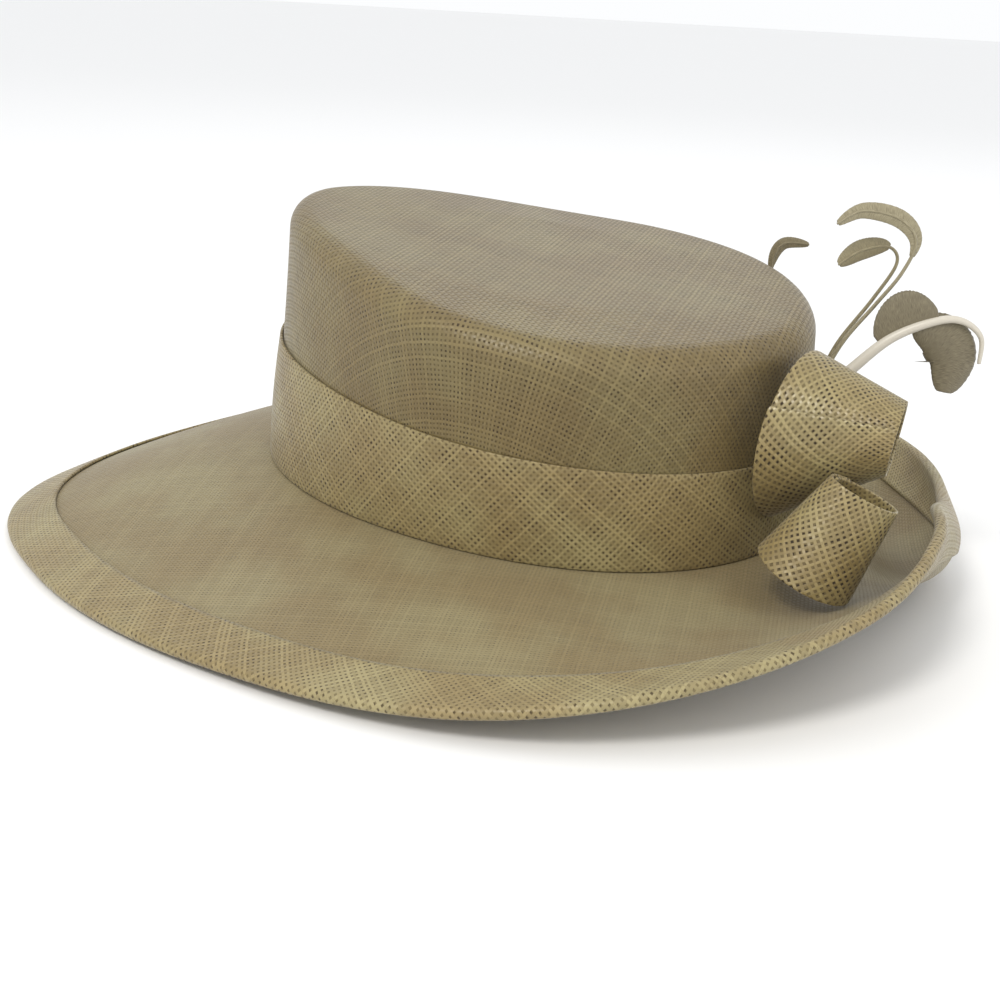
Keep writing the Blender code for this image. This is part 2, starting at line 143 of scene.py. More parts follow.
# Weaves: colours of thread and holes, the holes' colour being painted shade between the threads;
# thread pitch, turn and width, the turn and the wider pitch of the layer below, and the
# roughness of a raised thread
WEAVE_COLUMNS = (
    "name", "light", "dark", "hole", "pitch", "turn", "width",
    "under_turn", "under_pitch", "rough",
)
WEAVES = (
    ("crown_look", (0.25, 0.20, 0.085), (0.12, 0.092, 0.034), (0.045, 0.030, 0.012),
     0.00160, -74.0, 0.56, 9.0, 1.06, 0.40),
    ("brim_look", (0.31, 0.26, 0.135), (0.20, 0.165, 0.08), (0.11, 0.083, 0.038),
     0.00125, -80.0, 0.62, -7.0, 1.05, 0.50),
    ("band_look", (0.38, 0.32, 0.15), (0.17, 0.13, 0.052), (0.055, 0.036, 0.015),
     0.00170, 38.0, 0.52, 10.0, 1.07, 0.38),
    ("binding_look", (0.40, 0.34, 0.17), (0.19, 0.15, 0.065), (0.075, 0.055, 0.024),
     0.00160, 52.0, 0.56, -10.0, 1.06, 0.42),
    ("loop_look", (0.42, 0.355, 0.17), (0.17, 0.13, 0.052), (0.032, 0.021, 0.009),
     0.00170, 36.0, 0.50, 7.0, 1.05, 0.30),
)
THREAD_WANDER = 0.35
WANDER_SCALE = 0.35
THREAD_SOFTNESS = 0.06
THREAD_RISE = (0.2, 0.8)
THREAD_SHADE = (0.45, 0.3)
WARP_SEED = 3.0
WEFT_SEED = 91.0
UNDER_OFFSET = 17.0
# painted shade: the layer below is drawn darker and mixed towards the holes' colour; the second
# value also sinks it in the bump
UNDER_PAINTED_SHADE = 0.6
UNDER_SINK_AND_SHADE = 0.45
PATCH_SCALE = 22.0
PATCH_RANGE = (0.35, 0.7)
PATCH_TINT = (0.85, 0.775, 0.70)
WEAVE_BUMP = (0.55, 0.00035)
HOLE_ROUGHNESS = 0.85
RAISED_RANGE = (0.2, 0.9)

# Feather barbs: stretched noise, with a shallow bump
BARB_SCALE = (4500.0, 500.0, 1.0)
BARB_RANGE = (0.3, 0.7)
BARB_BUMP = (0.4, 0.0002)
QUILL_COLOUR = (0.56, 0.52, 0.44)
QUILL_ROUGHNESS = 0.35

# Camera, aimed as the photo was taken
CAMERA_PLACE = (0.01097, -0.57357, 0.18941)
CAMERA_TURN = (73.0427, -3.0854, 1.3817)
CAMERA_LENS = 58.4

# Studio: each light has a place, a size, a power and a colour
FLOOR_SIZE = 40.0
FLOOR_COLOUR = (0.90, 0.90, 0.90)
SKY_COLOUR = (0.98, 0.99, 1.0)
LIGHT_AIM = (0.0, 0.0, 0.05)
LIGHTS = (
    ("key", (-0.5, -1.2, 1.3), 0.5, 14.0, (1.0, 0.97, 0.92)),
    ("fill", (1.5, -1.2, 0.8), 1.2, 3.0, (1.0, 1.0, 1.0)),
    ("back", (0.3, 1.6, 1.6), 1.0, 3.0, (1.0, 1.0, 1.0)),
)


# Shapes in the hat's own frame

def oval_radius(azimuth, length, width, power):
    turned = math.radians(azimuth - OVAL_TURN)
    along = abs(math.cos(turned)) / (0.5 * length)
    across = abs(math.sin(turned)) / (0.5 * width)
    return (along ** power + across ** power) ** (-1.0 / power)


def outward(azimuth):
    return Vector((math.cos(math.radians(azimuth)), math.sin(math.radians(azimuth)), 0.0))


def foot_point(azimuth, grow=0.0):
    length, width = HEAD_LENGTH + 2 * grow, HEAD_WIDTH + 2 * grow
    return outward(azimuth) * oval_radius(azimuth, length, width, HEAD_POWER)


def top_height(point):
    return CROWN_HEIGHT + TOP_SLOPE[0] * point.x + TOP_SLOPE[1] * point.y


def ridge_point(azimuth, grow=0.0):
    length, width = TOP_LENGTH + 2 * grow, TOP_WIDTH + 2 * grow
    radius = oval_radius(azimuth, length, width, TOP_POWER)
    radius *= 1 + TOP_EGG * math.cos(3 * math.radians(azimuth - TOP_EGG_TURN))
    point = outward(azimuth) * radius + Vector((*TOP_SHIFT, 0.0))
    wave = TOP_WAVE * math.cos(2 * math.radians(azimuth - TOP_WAVE_TURN))
    point.z = top_height(point) + wave
    return point


def wall_point(azimuth, height, grow=0.0):
    foot, ridge = foot_point(azimuth, grow), ridge_point(azimuth, grow)
    return foot.lerp(ridge, height / ridge.z)


def azimuths():
    return [-180.0 + 360.0 * step / AROUND for step in range(AROUND)]


def station_value(azimuth, column):
    field = BRIM_COLUMNS.index(column)
    rows = [(row[0] + turn, row[field]) for turn in (-360, 0, 360) for row in BRIM_TABLE]
    index = max(i for i, row in enumerate(rows) if row[0] <= azimuth)
    before, start, end, after = rows[index - 1:index + 3]
    span = end[0] - start[0]
    part = (azimuth - start[0]) / span
    slope_in = (end[1] - before[1]) / (end[0] - before[0]) * span
    slope_out = (after[1] - start[1]) / (after[0] - start[0]) * span
    square, cube = part ** 2, part ** 3
    return (
        (2 * cube - 3 * square + 1) * start[1]
        + (cube - 2 * square + part) * slope_in
        + (3 * square - 2 * cube) * end[1]
        + (cube - square) * slope_out
    )


def brim_spine(azimuth, keep_fine=True):
    """Middle line of the brim; with keep_fine also the points between its stations."""
    edge_lap = GAP + 0.5 * BINDING_WALL + 0.5 * STRAW_WALL
    width = BRIM_WIDTH * station_value(azimuth, "width") - edge_lap
    root = station_value(azimuth, "root_slope")
    rim = station_value(azimuth, "rim_slope")
    bend = station_value(azimuth, "bend_start")
    bound = BINDING_TOP_WIDTH / width
    inner = [(1 - bound) * step / BRIM_STEPS for step in range(BRIM_STEPS)]
    outer = [1 - bound + bound * step / BINDING_STEPS for step in range(BINDING_STEPS + 1)]
    stations = inner + outer
    point = foot_point(azimuth)
    point.z = -GAP - 0.5 * STRAW_WALL
    points = [point.copy()]
    for near, far in zip(stations, stations[1:]):
        for part in range(SPINE_STEPS):
            share = near + (far - near) * (part + 0.5) / SPINE_STEPS
            turned = min(max((share - bend) / (1 - bend), 0.0), 1.0)
            slope = math.radians(root + (rim - root) * turned)
            heading = outward(azimuth) * math.cos(slope) + Vector((0, 0, math.sin(slope)))
            point = point + heading * width * (far - near) / SPINE_STEPS
            if keep_fine or part == SPINE_STEPS - 1:
                points.append(point.copy())
    return points


def running_lengths(points):
    """Distance along a polyline at each of its points."""
    lengths = [0.0]
    for near, far in zip(points, points[1:]):
        lengths.append(lengths[-1] + (far - near).length)
    return lengths


def sheet_normals(rows):
    """Unit normals of a grid of points that is closed over its rows."""
    normals = []
    for i, row in enumerate(rows):
        before, ahead = rows[i - 1], rows[(i + 1) % len(rows)]
        line = []
        for j in range(len(row)):
            along = row[min(j + 1, len(row) - 1)] - row[max(j - 1, 0)]
            line.append(along.cross(before[j] - ahead[j]).normalized())
        normals.append(line)
    return normals


# Meshes

REST = Matrix.Translation(REST_SHIFT) @ Matrix(REST_ROWS).to_4x4()


def grid_piece(name, rows, flat, material, closed, wall=None, edge_bevel=0.0):
    """Sheet through rows of points; flat gives each row's weave coordinates."""
    shape = bmesh.new()
    layer = shape.loops.layers.uv.new("weave")
    grid = [[shape.verts.new(REST @ point) for point in row] for row in rows]
    last = len(grid) if closed else len(grid) - 1
    for i in range(last):
        here, ahead = grid[i], grid[(i + 1) % len(grid)]
        for j in range(len(here) - 1):
            face = shape.faces.new((here[j], ahead[j], ahead[j + 1], here[j + 1]))
            places = (flat(i, j), flat(i + 1, j), flat(i + 1, j + 1), flat(i, j + 1))
            for loop, place in zip(face.loops, places):
                loop[layer].uv = place
    bmesh.ops.recalc_face_normals(shape, faces=shape.faces)
    return finish_piece(name, shape, material, wall, edge_bevel)


def link_object(name, data):
    placed = bpy.data.objects.new(name, data)
    bpy.context.scene.collection.objects.link(placed)
    return placed


def add_wall(piece, thickness, even):
    solidify = piece.modifiers.new("wall", "SOLIDIFY")
    solidify.thickness = thickness
    solidify.offset = 0.0
    solidify.use_even_offset = even


def finish_piece(name, shape, material, wall=None, edge_bevel=0.0):
    mesh = bpy.data.meshes.new(name)
    shape.to_mesh(mesh)
    shape.free()
    mesh.shade_smooth()
    mesh.materials.append(material)
    piece = link_object(name, mesh)
    if wall:
        add_wall(piece, wall, even=True)
    if edge_bevel:
        bevel = piece.modifiers.new("soft_edge", "BEVEL")
        bevel.width = edge_bevel
        bevel.segments = HEM_SEGMENTS
        bevel.limit_method = "ANGLE"
        bevel.angle_limit = math.radians(HEM_ANGLE)
    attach(piece, "root")
    return piece


def build_crown(material):
    inset = -0.5 * STRAW_WALL
    middle = Vector((*TOP_SHIFT, 0.0))
    rows, places = [], []
    for azimuth in azimuths():
        foot, ridge = foot_point(azimuth, inset), ridge_point(azimuth, inset)
        flat = middle.lerp(ridge, TOP_FLAT_SHARE)
        flat.z = top_height(flat)
        heart = middle.lerp(ridge, FLAT_HEART)
        heart.z = top_height(heart)
        down = (foot - ridge).normalized()
        across = (flat - ridge).normalized()
        low, high = ridge + down * TOP_EDGE_RADIUS, ridge + across * TOP_EDGE_RADIUS
        arc = []
        for step in range(EDGE_STEPS + 1):
            share = step / EDGE_STEPS
            weight = 2 * share * (1 - share) * math.cos(math.pi / 4)
            first, last = (1 - share) ** 2, share ** 2
            arc.append((low * first + ridge * weight + high * last) / (first + weight + last))
        wall = [foot.lerp(low, step / WALL_STEPS) for step in range(WALL_STEPS)]
        rim = [high.lerp(flat, step / RIM_STEPS) for step in range(1, RIM_STEPS)]
        inside = [flat.lerp(heart, step / FLAT_STEPS) for step in range(FLAT_STEPS + 1)]
        line = wall + arc + rim + inside
        away = outward(azimuth)
        corner = len(wall) + EDGE_STEPS // 2
        place = [None] * len(line)
        for index in range(corner, len(line)):
            place[index] = line[index].xy
        for index in range(corner - 1, -1, -1):
            step = (line[index] - line[index + 1]).length
            place[index] = place[index + 1] + away.xy * step
        rows.append(line)
        places.append(place)
    count = len(rows)
    crown = grid_piece(
        "crown_weave", rows, lambda i, j: places[i % count][j],
        material, closed=True,
    )
    # the small hole left at the heart of the flat top is closed by one face
    shape = bmesh.new()
    shape.from_mesh(crown.data)
    layer = shape.loops.layers.uv.verify()
    hole = [
        edge for edge in shape.edges
        if edge.is_boundary and edge.verts[0].co.z > CROWN_HEIGHT
    ]
    cap = bmesh.ops.contextual_create(shape, geom=hole)["faces"]
    back = REST.inverted()
    for face in cap:
        for loop in face.loops:
            loop[layer].uv = (back @ loop.vert.co).xy
    bmesh.ops.recalc_face_normals(shape, faces=shape.faces)
    shape.to_mesh(crown.data)
    shape.free()
    crown.data.shade_smooth()
    add_wall(crown, STRAW_WALL, even=False)
    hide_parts("crown")
    return crown


def build_brim(material):
    rows = []
    for azimuth in azimuths():
        inset = STRAW_WALL + GAP + 0.5 * STRAW_WALL
        top = wall_point(azimuth, COLLAR_HEIGHT, -inset)
        corner = foot_point(azimuth, -inset)
        corner.z = -GAP - 0.5 * STRAW_WALL
        rows.append([top, corner] + brim_spine(azimuth))
    count = len(rows)
    places = []
    for azimuth, row in zip(azimuths(), rows):
        away = outward(azimuth).xy
        base = row[2].xy
        place = [base - away * COLLAR_WEAVE[0], base - away * COLLAR_WEAVE[1], base]
        for near, far in zip(row[2:], row[3:]):
            place.append(place[-1] + away * (far - near).length)
        places.append(place)
    brim = grid_piece(
        "brim_weave", rows, lambda i, j: places[i % count][j],
        material, closed=True, wall=STRAW_WALL,
    )
    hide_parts("brim")
    return brim


def build_binding(material):
    rows = [brim_spine(azimuth) for azimuth in azimuths()]
    lift = 0.5 * STRAW_WALL + GAP + 0.5 * BINDING_WALL
    binding = []
    for row, line in zip(rows, sheet_normals(rows)):
        end = (row[-1] - row[-2]).normalized()
        top = [row[-1 - j] + line[-1 - j] * lift for j in range(BOUND_POINTS, -1, -1)]
        fold = [
            row[-1] + (line[-1] * math.cos(angle) + end * math.sin(angle)) * lift
            for angle in (math.pi * step / FOLD_STEPS for step in range(1, FOLD_STEPS))
        ]
        below = [row[-1 - j] - line[-1 - j] * lift for j in range(BOUND_POINTS + 1)]
        binding.append(top + fold + below)
    edge = [row[BOUND_POINTS] for row in binding]
    along = running_lengths(edge + edge[:1])
    across = running_lengths(binding[0])
    piece = grid_piece(
        "binding_weave", binding, lambda i, j: (along[i], across[j]),
        material, closed=True, wall=BINDING_WALL,
    )
    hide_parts("brim_binding")
    return piece


def band_top(point):
    return BAND_HEIGHT + BAND_SLOPE[0] * point.x + BAND_SLOPE[1] * point.y


def build_band(material):
    off = GAP + 0.5 * BAND_WALL
    rows = []
    for azimuth in azimuths():
        height = band_top(foot_point(azimuth))
        row = []
        for step in range(BAND_ROWS + 1):
            share = step / BAND_ROWS
            belly = BAND_BELLY * math.sin(math.pi * share)
            row.append(wall_point(azimuth, height * share, off + belly))
        rows.append(row)
    count = len(rows)
    along = running_lengths([row[0] for row in rows + rows[:1]])
    piece = grid_piece(
        "band_weave", rows, lambda i, j: (along[i], rows[i % count][j].z),
        material, closed=True, wall=BAND_WALL, edge_bevel=HEM_RADIUS,
    )
    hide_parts("hat_band")
    return piece


def loop_end(row):
    values = dict(zip(LOOP_COLUMNS, row))
    centre = Vector((values["x"], values["y"], values["z"])) * LOOP_SIZE
    turn = math.radians(values["azimuth"])
    tilt = math.radians(values["tilt"])
    normal = Vector((
        math.cos(turn) * math.cos(tilt),
        math.sin(turn) * math.cos(tilt),
        math.sin(tilt),
    ))
    across = Vector((-math.sin(turn), math.cos(turn), 0.0))
    up = normal.cross(across)
    return centre, across, up, values["across"] * LOOP_SIZE, values["up"] * LOOP_SIZE


def roll_points(ends, seam, around, along):
    sweep = 360.0 + LOOP_LAP_TURN
    start, finish = loop_end(ends[0]), loop_end(ends[1])
    rows = []
    for i in range(around + 1):
        share = i / around
        angle = math.radians(seam + sweep * share)
        line = []
        for centre, across, up, wide, high in (start, finish):
            wide -= LOOP_LAP * share
            high -= LOOP_LAP * share
            line.append(centre + across * wide * math.cos(angle) + up * high * math.sin(angle))
        near, far = line
        rows.append([near.lerp(far, j / along) for j in range(along + 1)])
    return rows


def azimuth_of(point):
    return math.degrees(math.atan2(point.y, point.x))


def wall_clearance(point):
    azimuth = azimuth_of(point)
    height = max(point.z, 0.0)
    grow = 0.0
    if height < band_top(foot_point(azimuth)) + GAP:
        grow = GAP + BAND_WALL + BAND_BELLY
    face = wall_point(azimuth, height, grow)
    return point.xy.length - face.xy.length


def brim_height(point):
    radius = point.xy.length
    spine = brim_spine(azimuth_of(point), keep_fine=False)
    for low, high in zip(spine, spine[1:]):
        near, far = low.xy.length, high.xy.length
        if near <= radius <= far:
            return low.lerp(high, (radius - near) / (far - near)).z
    return spine[0].z if radius < spine[0].xy.length else min(point.z for point in spine)


def build_loop(name, node, ends, seam, shift, material):
    rows = roll_points(ends, seam, LOOP_AROUND, LOOP_ALONG)
    rows = [[point + shift for point in row] for row in rows]
    turned = running_lengths([row[LOOP_ALONG // 2] for row in rows])
    length = (rows[0][-1] - rows[0][0]).length
    piece = grid_piece(
        name, rows, lambda i, j: (turned[i], length * j / LOOP_ALONG),
        material, closed=False, wall=LOOP_WALL, edge_bevel=HEM_RADIUS,
    )
    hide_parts(node)
    return piece


def build_loops(material):
    coarse = roll_points(UPPER_LOOP, UPPER_SEAM, COARSE_AROUND, COARSE_ALONG)
    spare = min(wall_clearance(point) for row in coarse for point in row)
    push = outward(UPPER_LOOP[0][3]) * (GAP + 0.5 * LOOP_WALL - spare)
    build_loop("loop_upper_weave", "loop_upper", UPPER_LOOP, UPPER_SEAM, push, material)
    coarse = roll_points(LOWER_LOOP, LOWER_SEAM, COARSE_AROUND, COARSE_ALONG)
    wanted = GAP + 0.5 * (LOOP_WALL + STRAW_WALL)
    spare = min(point.z - brim_height(point) for row in coarse for point in row)
    drop = Vector((0.0, 0.0, wanted * SLOPE_ALLOWANCE - spare))
    build_loop("loop_lower_weave", "loop_lower", LOWER_LOOP, LOWER_SEAM, drop, material)


# Materials

def add_node(tree, kind, **settings):
    node = tree.nodes.new(kind)
    for key, value in settings.items():
        setattr(node, key, value)
    return node


def maths(tree, operation, first, second=None, third=None):
    node = add_node(tree, "ShaderNodeMath", operation=operation)
    for index, value in enumerate((first, second, third)):
        if value is None:
            continue
        if isinstance(value, (int, float)):
            node.inputs[index].default_value = value
        else:
            tree.links.new(value, node.inputs[index])
    return node.outputs[0]


def smooth(tree, value, low, high, start=0.0, end=1.0):
    node = add_node(tree, "ShaderNodeMapRange", interpolation_type="SMOOTHSTEP")
    tree.links.new(value, node.inputs["Value"])
    node.inputs["From Min"].default_value = low
    node.inputs["From Max"].default_value = high
    node.inputs["To Min"].default_value = start
    node.inputs["To Max"].default_value = end
    return node.outputs["Result"]


def mix_colour(tree, share, first, second, blend="MIX"):
    node = add_node(tree, "ShaderNodeMix", data_type="RGBA", blend_type=blend)
    sockets = (node.inputs[0], node.inputs[6], node.inputs[7])
    for socket, value in zip(sockets, (share, first, second)):
        if isinstance(value, (int, float)):
            socket.default_value = value
        elif isinstance(value, tuple):
            socket.default_value = (*value, 1.0)
        else:
            tree.links.new(value, socket)
    return node.outputs[2]


def noise(tree, vector, scale, detail):
    """Height of a flat noise at the given coordinates."""
    node = add_node(tree, "ShaderNodeTexNoise", noise_dimensions="2D")
    node.inputs["Scale"].default_value = scale
    node.inputs["Detail"].default_value = detail
    tree.links.new(vector, node.inputs["Vector"])
    return node.outputs[0]


def weave_coordinates(tree, flat, pitch, turn, offset):
    """Thread coordinates: whole numbers lie between threads."""
    mapping = add_node(tree, "ShaderNodeMapping")
    mapping.inputs["Rotation"].default_value = (0.0, 0.0, math.radians(turn))
    mapping.inputs["Scale"].default_value = (1.0 / pitch, 1.0 / pitch, 1.0)
    mapping.inputs["Location"].default_value = (offset, offset * 0.7, 0.0)
    tree.links.new(flat, mapping.inputs["Vector"])
    parts = add_node(tree, "ShaderNodeSeparateXYZ")
    tree.links.new(mapping.outputs[0], parts.inputs[0])
    return parts.outputs["X"], parts.outputs["Y"]


def thread(tree, across, along, width, seed):
    """Profile, own brightness and rise of the threads that run along one axis."""
    join = add_node(tree, "ShaderNodeCombineXYZ")
    tree.links.new(along, join.inputs[0])
    tree.links.new(maths(tree, "FLOOR", across), join.inputs[1])
    wobble = noise(tree, join.outputs[0], WANDER_SCALE, 2.0)
    bent = maths(tree, "SUBTRACT", wobble, 0.5)
    bent = maths(tree, "MULTIPLY_ADD", bent, THREAD_WANDER, across)
    index = maths(tree, "FLOOR", bent)
    place = maths(tree, "ABSOLUTE", maths(tree, "SUBTRACT", maths(tree, "FRACT", bent), 0.5))
    own = add_node(tree, "ShaderNodeTexWhiteNoise", noise_dimensions="1D")
    tree.links.new(maths(tree, "ADD", index, seed), own.inputs["W"])
    half = 0.5 * width
    profile = smooth(tree, place, half + THREAD_SOFTNESS, half - THREAD_SOFTNESS)
    turn = maths(tree, "MULTIPLY", maths(tree, "ADD", along, index), math.pi)
    rise = maths(tree, "MULTIPLY_ADD", maths(tree, "SINE", turn), *THREAD_RISE)
    return profile, own.outputs["Value"], maths(tree, "MULTIPLY", profile, rise)


def weave_layer(tree, flat, pitch, turn, width, offset):
    """Cover, brightness and height of one plain woven layer."""
    x, y = weave_coordinates(tree, flat, pitch, turn, offset)
    warp, warp_own, warp_rise = thread(tree, x, y, width, WARP_SEED + offset)
    weft, weft_own, weft_rise = thread(tree, y, x, width, WEFT_SEED + offset)
    over = maths(tree, "GREATER_THAN", warp_rise, weft_rise)
    own = maths(
        tree, "ADD",
        maths(tree, "MULTIPLY", warp_own, over),
        maths(tree, "MULTIPLY", weft_own, maths(tree, "SUBTRACT", 1.0, over)),
    )
    cover = maths(tree, "MAXIMUM", warp, weft)
    height = maths(tree, "MAXIMUM", warp_rise, weft_rise)
    return cover, maths(tree, "MULTIPLY_ADD", own, *THREAD_SHADE), height


def new_material(name):
    """A material with its node tree and shader."""
    material = bpy.data.materials.new(name)
    material.use_nodes = True
    tree = material.node_tree
    return material, tree, tree.nodes["Principled BSDF"]


def add_bump(tree, shader, height, strength, distance):
    bump = add_node(tree, "ShaderNodeBump")
    bump.inputs["Strength"].default_value = strength
    bump.inputs["Distance"].default_value = distance
    tree.links.new(height, bump.inputs["Height"])
    tree.links.new(bump.outputs[0], shader.inputs["Normal"])


def weave_material(look):
    """Two woven layers laid over each other at a small angle, with patchy colour; the layer
    below is painted darker as shade, and the holes get a painted shade colour.
    """
    material, tree, shader = new_material(look["name"])
    light, dark, hole = look["light"], look["dark"], look["hole"]
    pitch, turn, width = look["pitch"], look["turn"], look["width"]
    flat = add_node(tree, "ShaderNodeUVMap", uv_map="weave").outputs[0]
    cover, own, height = weave_layer(tree, flat, pitch, turn, width, 0.0)
    under, under_own, under_height = weave_layer(
        tree, flat, pitch * look["under_pitch"], turn + look["under_turn"],
        width, UNDER_OFFSET,
    )
    upper_colour = mix_colour(tree, own, dark, light)
    # painted shade on the layer below: its threads are darkened and mixed towards the holes'
    # colour
    lower_colour = mix_colour(tree, maths(tree, "MULTIPLY", under_own, UNDER_PAINTED_SHADE), dark, light)
    lower_colour = mix_colour(tree, UNDER_SINK_AND_SHADE, lower_colour, hole)
    # painted shade in the holes, where neither layer has a thread
    below = mix_colour(tree, under, hole, lower_colour)
    colour = mix_colour(tree, cover, below, upper_colour)
    patchy = smooth(tree, noise(tree, flat, PATCH_SCALE, 3.0), *PATCH_RANGE)
    tint = mix_colour(tree, patchy, PATCH_TINT, (1.0, 1.0, 1.0))
    colour = mix_colour(tree, 1.0, colour, tint, "MULTIPLY")
    tree.links.new(colour, shader.inputs["Base Color"])
    sunk = maths(tree, "MULTIPLY", under_height, UNDER_SINK_AND_SHADE)
    total = maths(tree, "MAXIMUM", height, sunk)
    add_bump(tree, shader, total, *WEAVE_BUMP)
    gloss = smooth(tree, total, *RAISED_RANGE, HOLE_ROUGHNESS, look["rough"])
    tree.links.new(gloss, shader.inputs["Roughness"])
    shader.inputs["Specular IOR Level"].default_value = 0.5
    shader.inputs["Sheen Weight"].default_value = 0.15
    shader.inputs["Sheen Roughness"].default_value = 0.4
    return material


def feather_material(name, colour, pale):
    """Fine barbs that run from the stem to the vane's edge."""
    material, tree, shader = new_material(name)
    flat = add_node(tree, "ShaderNodeUVMap", uv_map="weave").outputs[0]
    mapping = add_node(tree, "ShaderNodeMapping")
    mapping.inputs["Scale"].default_value = BARB_SCALE
    tree.links.new(flat, mapping.inputs["Vector"])
    barbs = noise(tree, mapping.outputs[0], 1.0, 4.0)
    shade = smooth(tree, barbs, *BARB_RANGE)
    tree.links.new(mix_colour(tree, shade, colour, pale), shader.inputs["Base Color"])
    add_bump(tree, shader, barbs, *BARB_BUMP)
    shader.inputs["Roughness"].default_value = 0.5
    shader.inputs["Sheen Weight"].default_value = 0.3
    return material


def plain_material(name, colour, roughness):
    material, _, shader = new_material(name)
    shader.inputs["Base Color"].default_value = (*colour, 1.0)
    shader.inputs["Roughness"].default_value = roughness
    return material


# Feathers

PLUME_REACH = 0.050
FOOT_HEIGHT = 0.046
QUILL_RADIUS = 0.0022
STEM_RADIUS = 0.0008
ROUTES = {
    "quill": (
        (0.0, 0.0, 0.0), (0.18, 0.0, 0.17), (0.44, 0.0, 0.44), (0.72, 0.0, 0.585),
        (0.90, 0.0, 0.60), (1.04, 0.0, 0.50), (1.06, 0.0, 0.32),
    ),
    "quill_end": (
        (0.60, 0.0, 0.54), (0.775, 0.0, 0.48), (0.886, 0.0, 0.33), (0.865, 0.0, 0.10),
    ),
    "curl": (
        (0.0, 0.0, 0.0), (0.14, 0.02, 0.34), (0.32, 0.02, 0.62), (0.46, 0.0, 0.86),
        (0.51, -0.02, 1.08), (0.38, -0.02, 1.22), (0.14, 0.0, 1.25), (-0.02, 0.0, 1.15),
    ),
    "small": (
        (0.0, 0.0, 0.0), (0.12, 0.05, 0.30), (0.31, 0.06, 0.62), (0.43, 0.05, 0.88),
        (0.36, 0.05, 0.99), (0.18, 0.05, 0.95), (0.04, 0.05, 0.84),
    ),
    "back": (
        (0.0, 0.0, 0.0), (0.04, 0.04, 0.28), (0.02, 0.06, 0.54), (0.09, 0.06, 0.70),
        (0.28, 0.06, 0.71),
    ),
}
FEATHER_COLUMNS = (
    "name", "foot_azimuth", "route", "radius", "tip_share", "dark", "pale",
)
FEATHERS = (
    ("feather_quill", -20.0, "quill", QUILL_RADIUS, 0.3,
     (0.10, 0.08, 0.045), (0.20, 0.17, 0.10)),
    ("feather_curl", -15.5, "curl", STEM_RADIUS, 0.5,
     (0.20, 0.17, 0.10), (0.34, 0.30, 0.19)),
    ("feather_small", -12.0, "small", STEM_RADIUS, 0.5,
     (0.17, 0.14, 0.075), (0.30, 0.26, 0.15)),
    ("feather_back", 25.0, "back", STEM_RADIUS, 0.5,
     (0.12, 0.10, 0.05), (0.22, 0.18, 0.10)),
)
VANE_COLUMNS = ("feather", "route", "start", "end", "below", "above", "cup")
VANES = (
    ("feather_quill", "quill", 0.30, 0.52, 0.03, 0.25, 0.25),
    ("feather_quill", "quill_end", 0.0, 1.0, 0.17, 0.17, 0.25),
    ("feather_curl", "curl", 0.50, 0.99, 0.06, 0.06, 0.15),
    ("feather_small", "small", 0.66, 0.99, 0.07, 0.07, 0.3),
    ("feather_back", "back", 0.45, 0.99, 0.045, 0.045, 0.2),
)
VANE_BLUNTNESS = 0.6
VANE_END_WIDTH = 0.04
VANE_ALONG = 48
VANE_ACROSS = 10
VANE_FILM = 0.0003
VANE_RAGGED = 0.015
VANE_RAGGED_PACE = 2.7
BARB_LEAN = 0.35
VANE_AIM_SPAN = 0.02
STEM_AIM_SPAN = 0.01
STEM_SIDES = 16
STEM_STEPS = 60
STEM_BARBS = 0.4


def route_point(points, share):
    scaled = share * (len(points) - 1)
    index = min(int(scaled), len(points) - 2)
    part = scaled - index
    start, end = points[index], points[index + 1]
    before = points[max(index - 1, 0)]
    after = points[min(index + 2, len(points) - 1)]
    leave, arrive = (end - before) * 0.5, (after - start) * 0.5
    square, cube = part ** 2, part ** 3
    return (
        start * (2 * cube - 3 * square + 1)
        + leave * (cube - 2 * square + part)
        + end * (3 * square - 2 * cube)
        + arrive * (cube - square)
    )


def route_frame(points, share, span):
    """Centre and two cross directions of a route at a share of its length."""
    before = route_point(points, max(share - span, 0.0))
    ahead = route_point(points, min(share + span, 1.0)) - before
    side = ahead.cross(Vector((0.0, 1.0, 0.0))).normalized()
    return route_point(points, share), side, side.cross(ahead).normalized()


def build_stem(name, node, points, radius, tip_share, material):
    rings = []
    for i in range(STEM_STEPS + 1):
        share = i / STEM_STEPS
        centre, side, up = route_frame(points, share, STEM_AIM_SPAN)
        size = radius * (1.0 + (tip_share - 1.0) * share)
        ring = []
        for k in range(STEM_SIDES):
            angle = math.tau * k / STEM_SIDES
            ring.append(centre + (side * math.cos(angle) + up * math.sin(angle)) * size)
        rings.append(ring)
    lengths = running_lengths([ring[0] for ring in rings])
    shape = bmesh.new()
    layer = shape.loops.layers.uv.new("weave")
    grid = [[shape.verts.new(REST @ point) for point in ring] for ring in rings]
    for i in range(STEM_STEPS):
        here, ahead = grid[i], grid[i + 1]
        for k in range(STEM_SIDES):
            n = (k + 1) % STEM_SIDES
            face = shape.faces.new((here[k], here[n], ahead[n], ahead[k]))
            corners = ((k, i), (k + 1, i), (k + 1, i + 1), (k, i + 1))
            for loop, (turned, step) in zip(face.loops, corners):
                loop[layer].uv = (turned * radius * STEM_BARBS, lengths[step])
    shape.faces.new(grid[0])
    shape.faces.new(grid[-1])
    bmesh.ops.recalc_face_normals(shape, faces=shape.faces)
    piece = finish_piece(name, shape, material)
    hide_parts(node)
    return piece


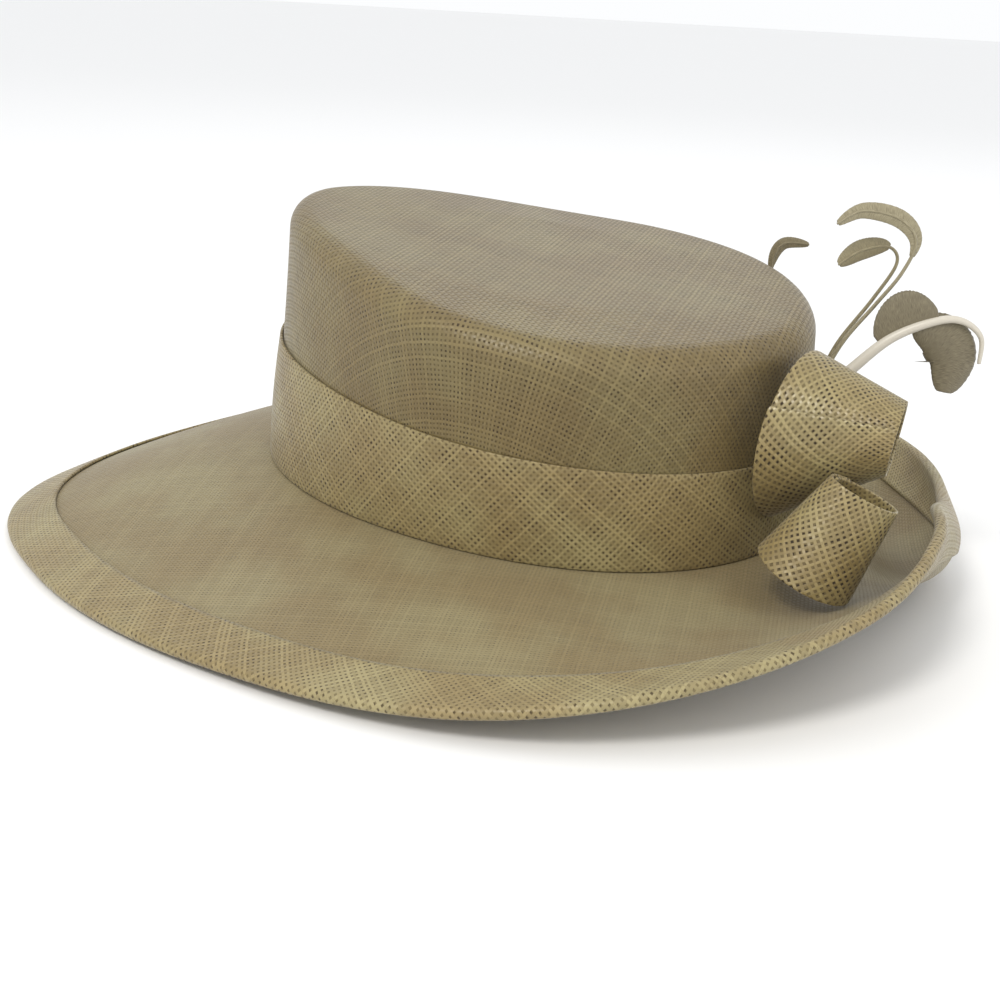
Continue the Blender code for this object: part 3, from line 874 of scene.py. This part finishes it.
def build_vane(name, node, points, vane, material):
    rows, places = [], []
    for i in range(VANE_ALONG + 1):
        share = i / VANE_ALONG
        at = vane["start"] + (vane["end"] - vane["start"]) * share
        centre, side, face = route_frame(points, at, VANE_AIM_SPAN)
        swell = math.sin(math.pi * (VANE_END_WIDTH + (1 - 2 * VANE_END_WIDTH) * share))
        fullness = swell ** VANE_BLUNTNESS * PLUME_REACH
        row, place = [], []
        for j in range(-VANE_ACROSS, VANE_ACROSS + 1):
            reach = j / VANE_ACROSS
            width = fullness * (vane["below"] if reach < 0 else vane["above"])
            ragged = 1.0 + VANE_RAGGED * math.sin(i * VANE_RAGGED_PACE) * abs(reach)
            bow = face * vane["cup"] * width * reach ** 2
            row.append(centre + side * reach * width * ragged + bow)
            lean = BARB_LEAN * abs(reach) * width
            place.append((share * PLUME_REACH - lean, reach * width))
        rows.append(row)
        places.append(place)
    piece = grid_piece(
        name, rows, lambda i, j: places[i][j], material,
        closed=False, wall=VANE_FILM,
    )
    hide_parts(node)
    return piece


def build_feathers(materials, quill_material):
    for row in FEATHERS:
        feather = dict(zip(FEATHER_COLUMNS, row))
        name, radius = feather["name"], feather["radius"]
        start = Vector(ROUTES[feather["route"]][1]).normalized()
        reach = radius * start.cross(outward(feather["foot_azimuth"])).length
        foot = wall_point(feather["foot_azimuth"], FOOT_HEIGHT, GAP + reach)
        routes = {
            key: [foot + Vector(step) * PLUME_REACH for step in route]
            for key, route in ROUTES.items()
        }
        stem_look = quill_material if name == "feather_quill" else materials[name]
        build_stem(
            name + "_stem", name, routes[feather["route"]],
            radius, feather["tip_share"], stem_look,
        )
        for number, vane_row in enumerate(VANES):
            vane = dict(zip(VANE_COLUMNS, vane_row))
            if vane["feather"] == name:
                points = routes[vane["route"]]
                build_vane(f"{name}_vane_{number}", name, points, vane, materials[name])


# Studio

def add_light(name, place, size, power, colour):
    data = bpy.data.lights.new(name, "AREA")
    data.shape = "DISK"
    data.size = size
    data.energy = power
    data.color = colour
    light = link_object(name, data)
    light.location = place
    aim = Vector(LIGHT_AIM) - Vector(place)
    light.rotation_euler = aim.to_track_quat("-Z", "Y").to_euler()


def build_studio():
    scene = bpy.context.scene
    floor_mesh = bpy.data.meshes.new("floor")
    shape = bmesh.new()
    bmesh.ops.create_grid(shape, x_segments=1, y_segments=1, size=FLOOR_SIZE)
    shape.to_mesh(floor_mesh)
    shape.free()
    floor_mesh.materials.append(plain_material("floor", FLOOR_COLOUR, 1.0))
    link_object("floor", floor_mesh)
    world = bpy.data.worlds.new("studio")
    world.use_nodes = True
    background = world.node_tree.nodes["Background"]
    background.inputs["Color"].default_value = (*SKY_COLOUR, 1.0)
    background.inputs["Strength"].default_value = 1.0
    scene.world = world
    for light in LIGHTS:
        add_light(*light)
    data = bpy.data.cameras.new("camera")
    data.sensor_width = 36.0
    data.lens = CAMERA_LENS
    camera = link_object("camera", data)
    camera.location = CAMERA_PLACE
    camera.rotation_euler = Euler([math.radians(angle) for angle in CAMERA_TURN])
    scene.camera = camera
    scene.view_settings.view_transform = "Standard"
    scene.view_settings.look = "None"
    scene.view_settings.exposure = 0.0


def build_hat():
    looks = {row[0]: weave_material(dict(zip(WEAVE_COLUMNS, row))) for row in WEAVES}
    quill_look = plain_material("quill_look", QUILL_COLOUR, QUILL_ROUGHNESS)
    feather_looks = {}
    for row in FEATHERS:
        name, dark, pale = row[0], row[-2], row[-1]
        feather_looks[name] = feather_material(name + "_look", dark, pale)
    build_crown(looks["crown_look"])
    build_brim(looks["brim_look"])
    build_band(looks["band_look"])
    build_binding(looks["binding_look"])
    build_loops(looks["loop_look"])
    build_feathers(feather_looks, quill_look)


build_hat()
build_studio()

bpy.context.view_layer.update()
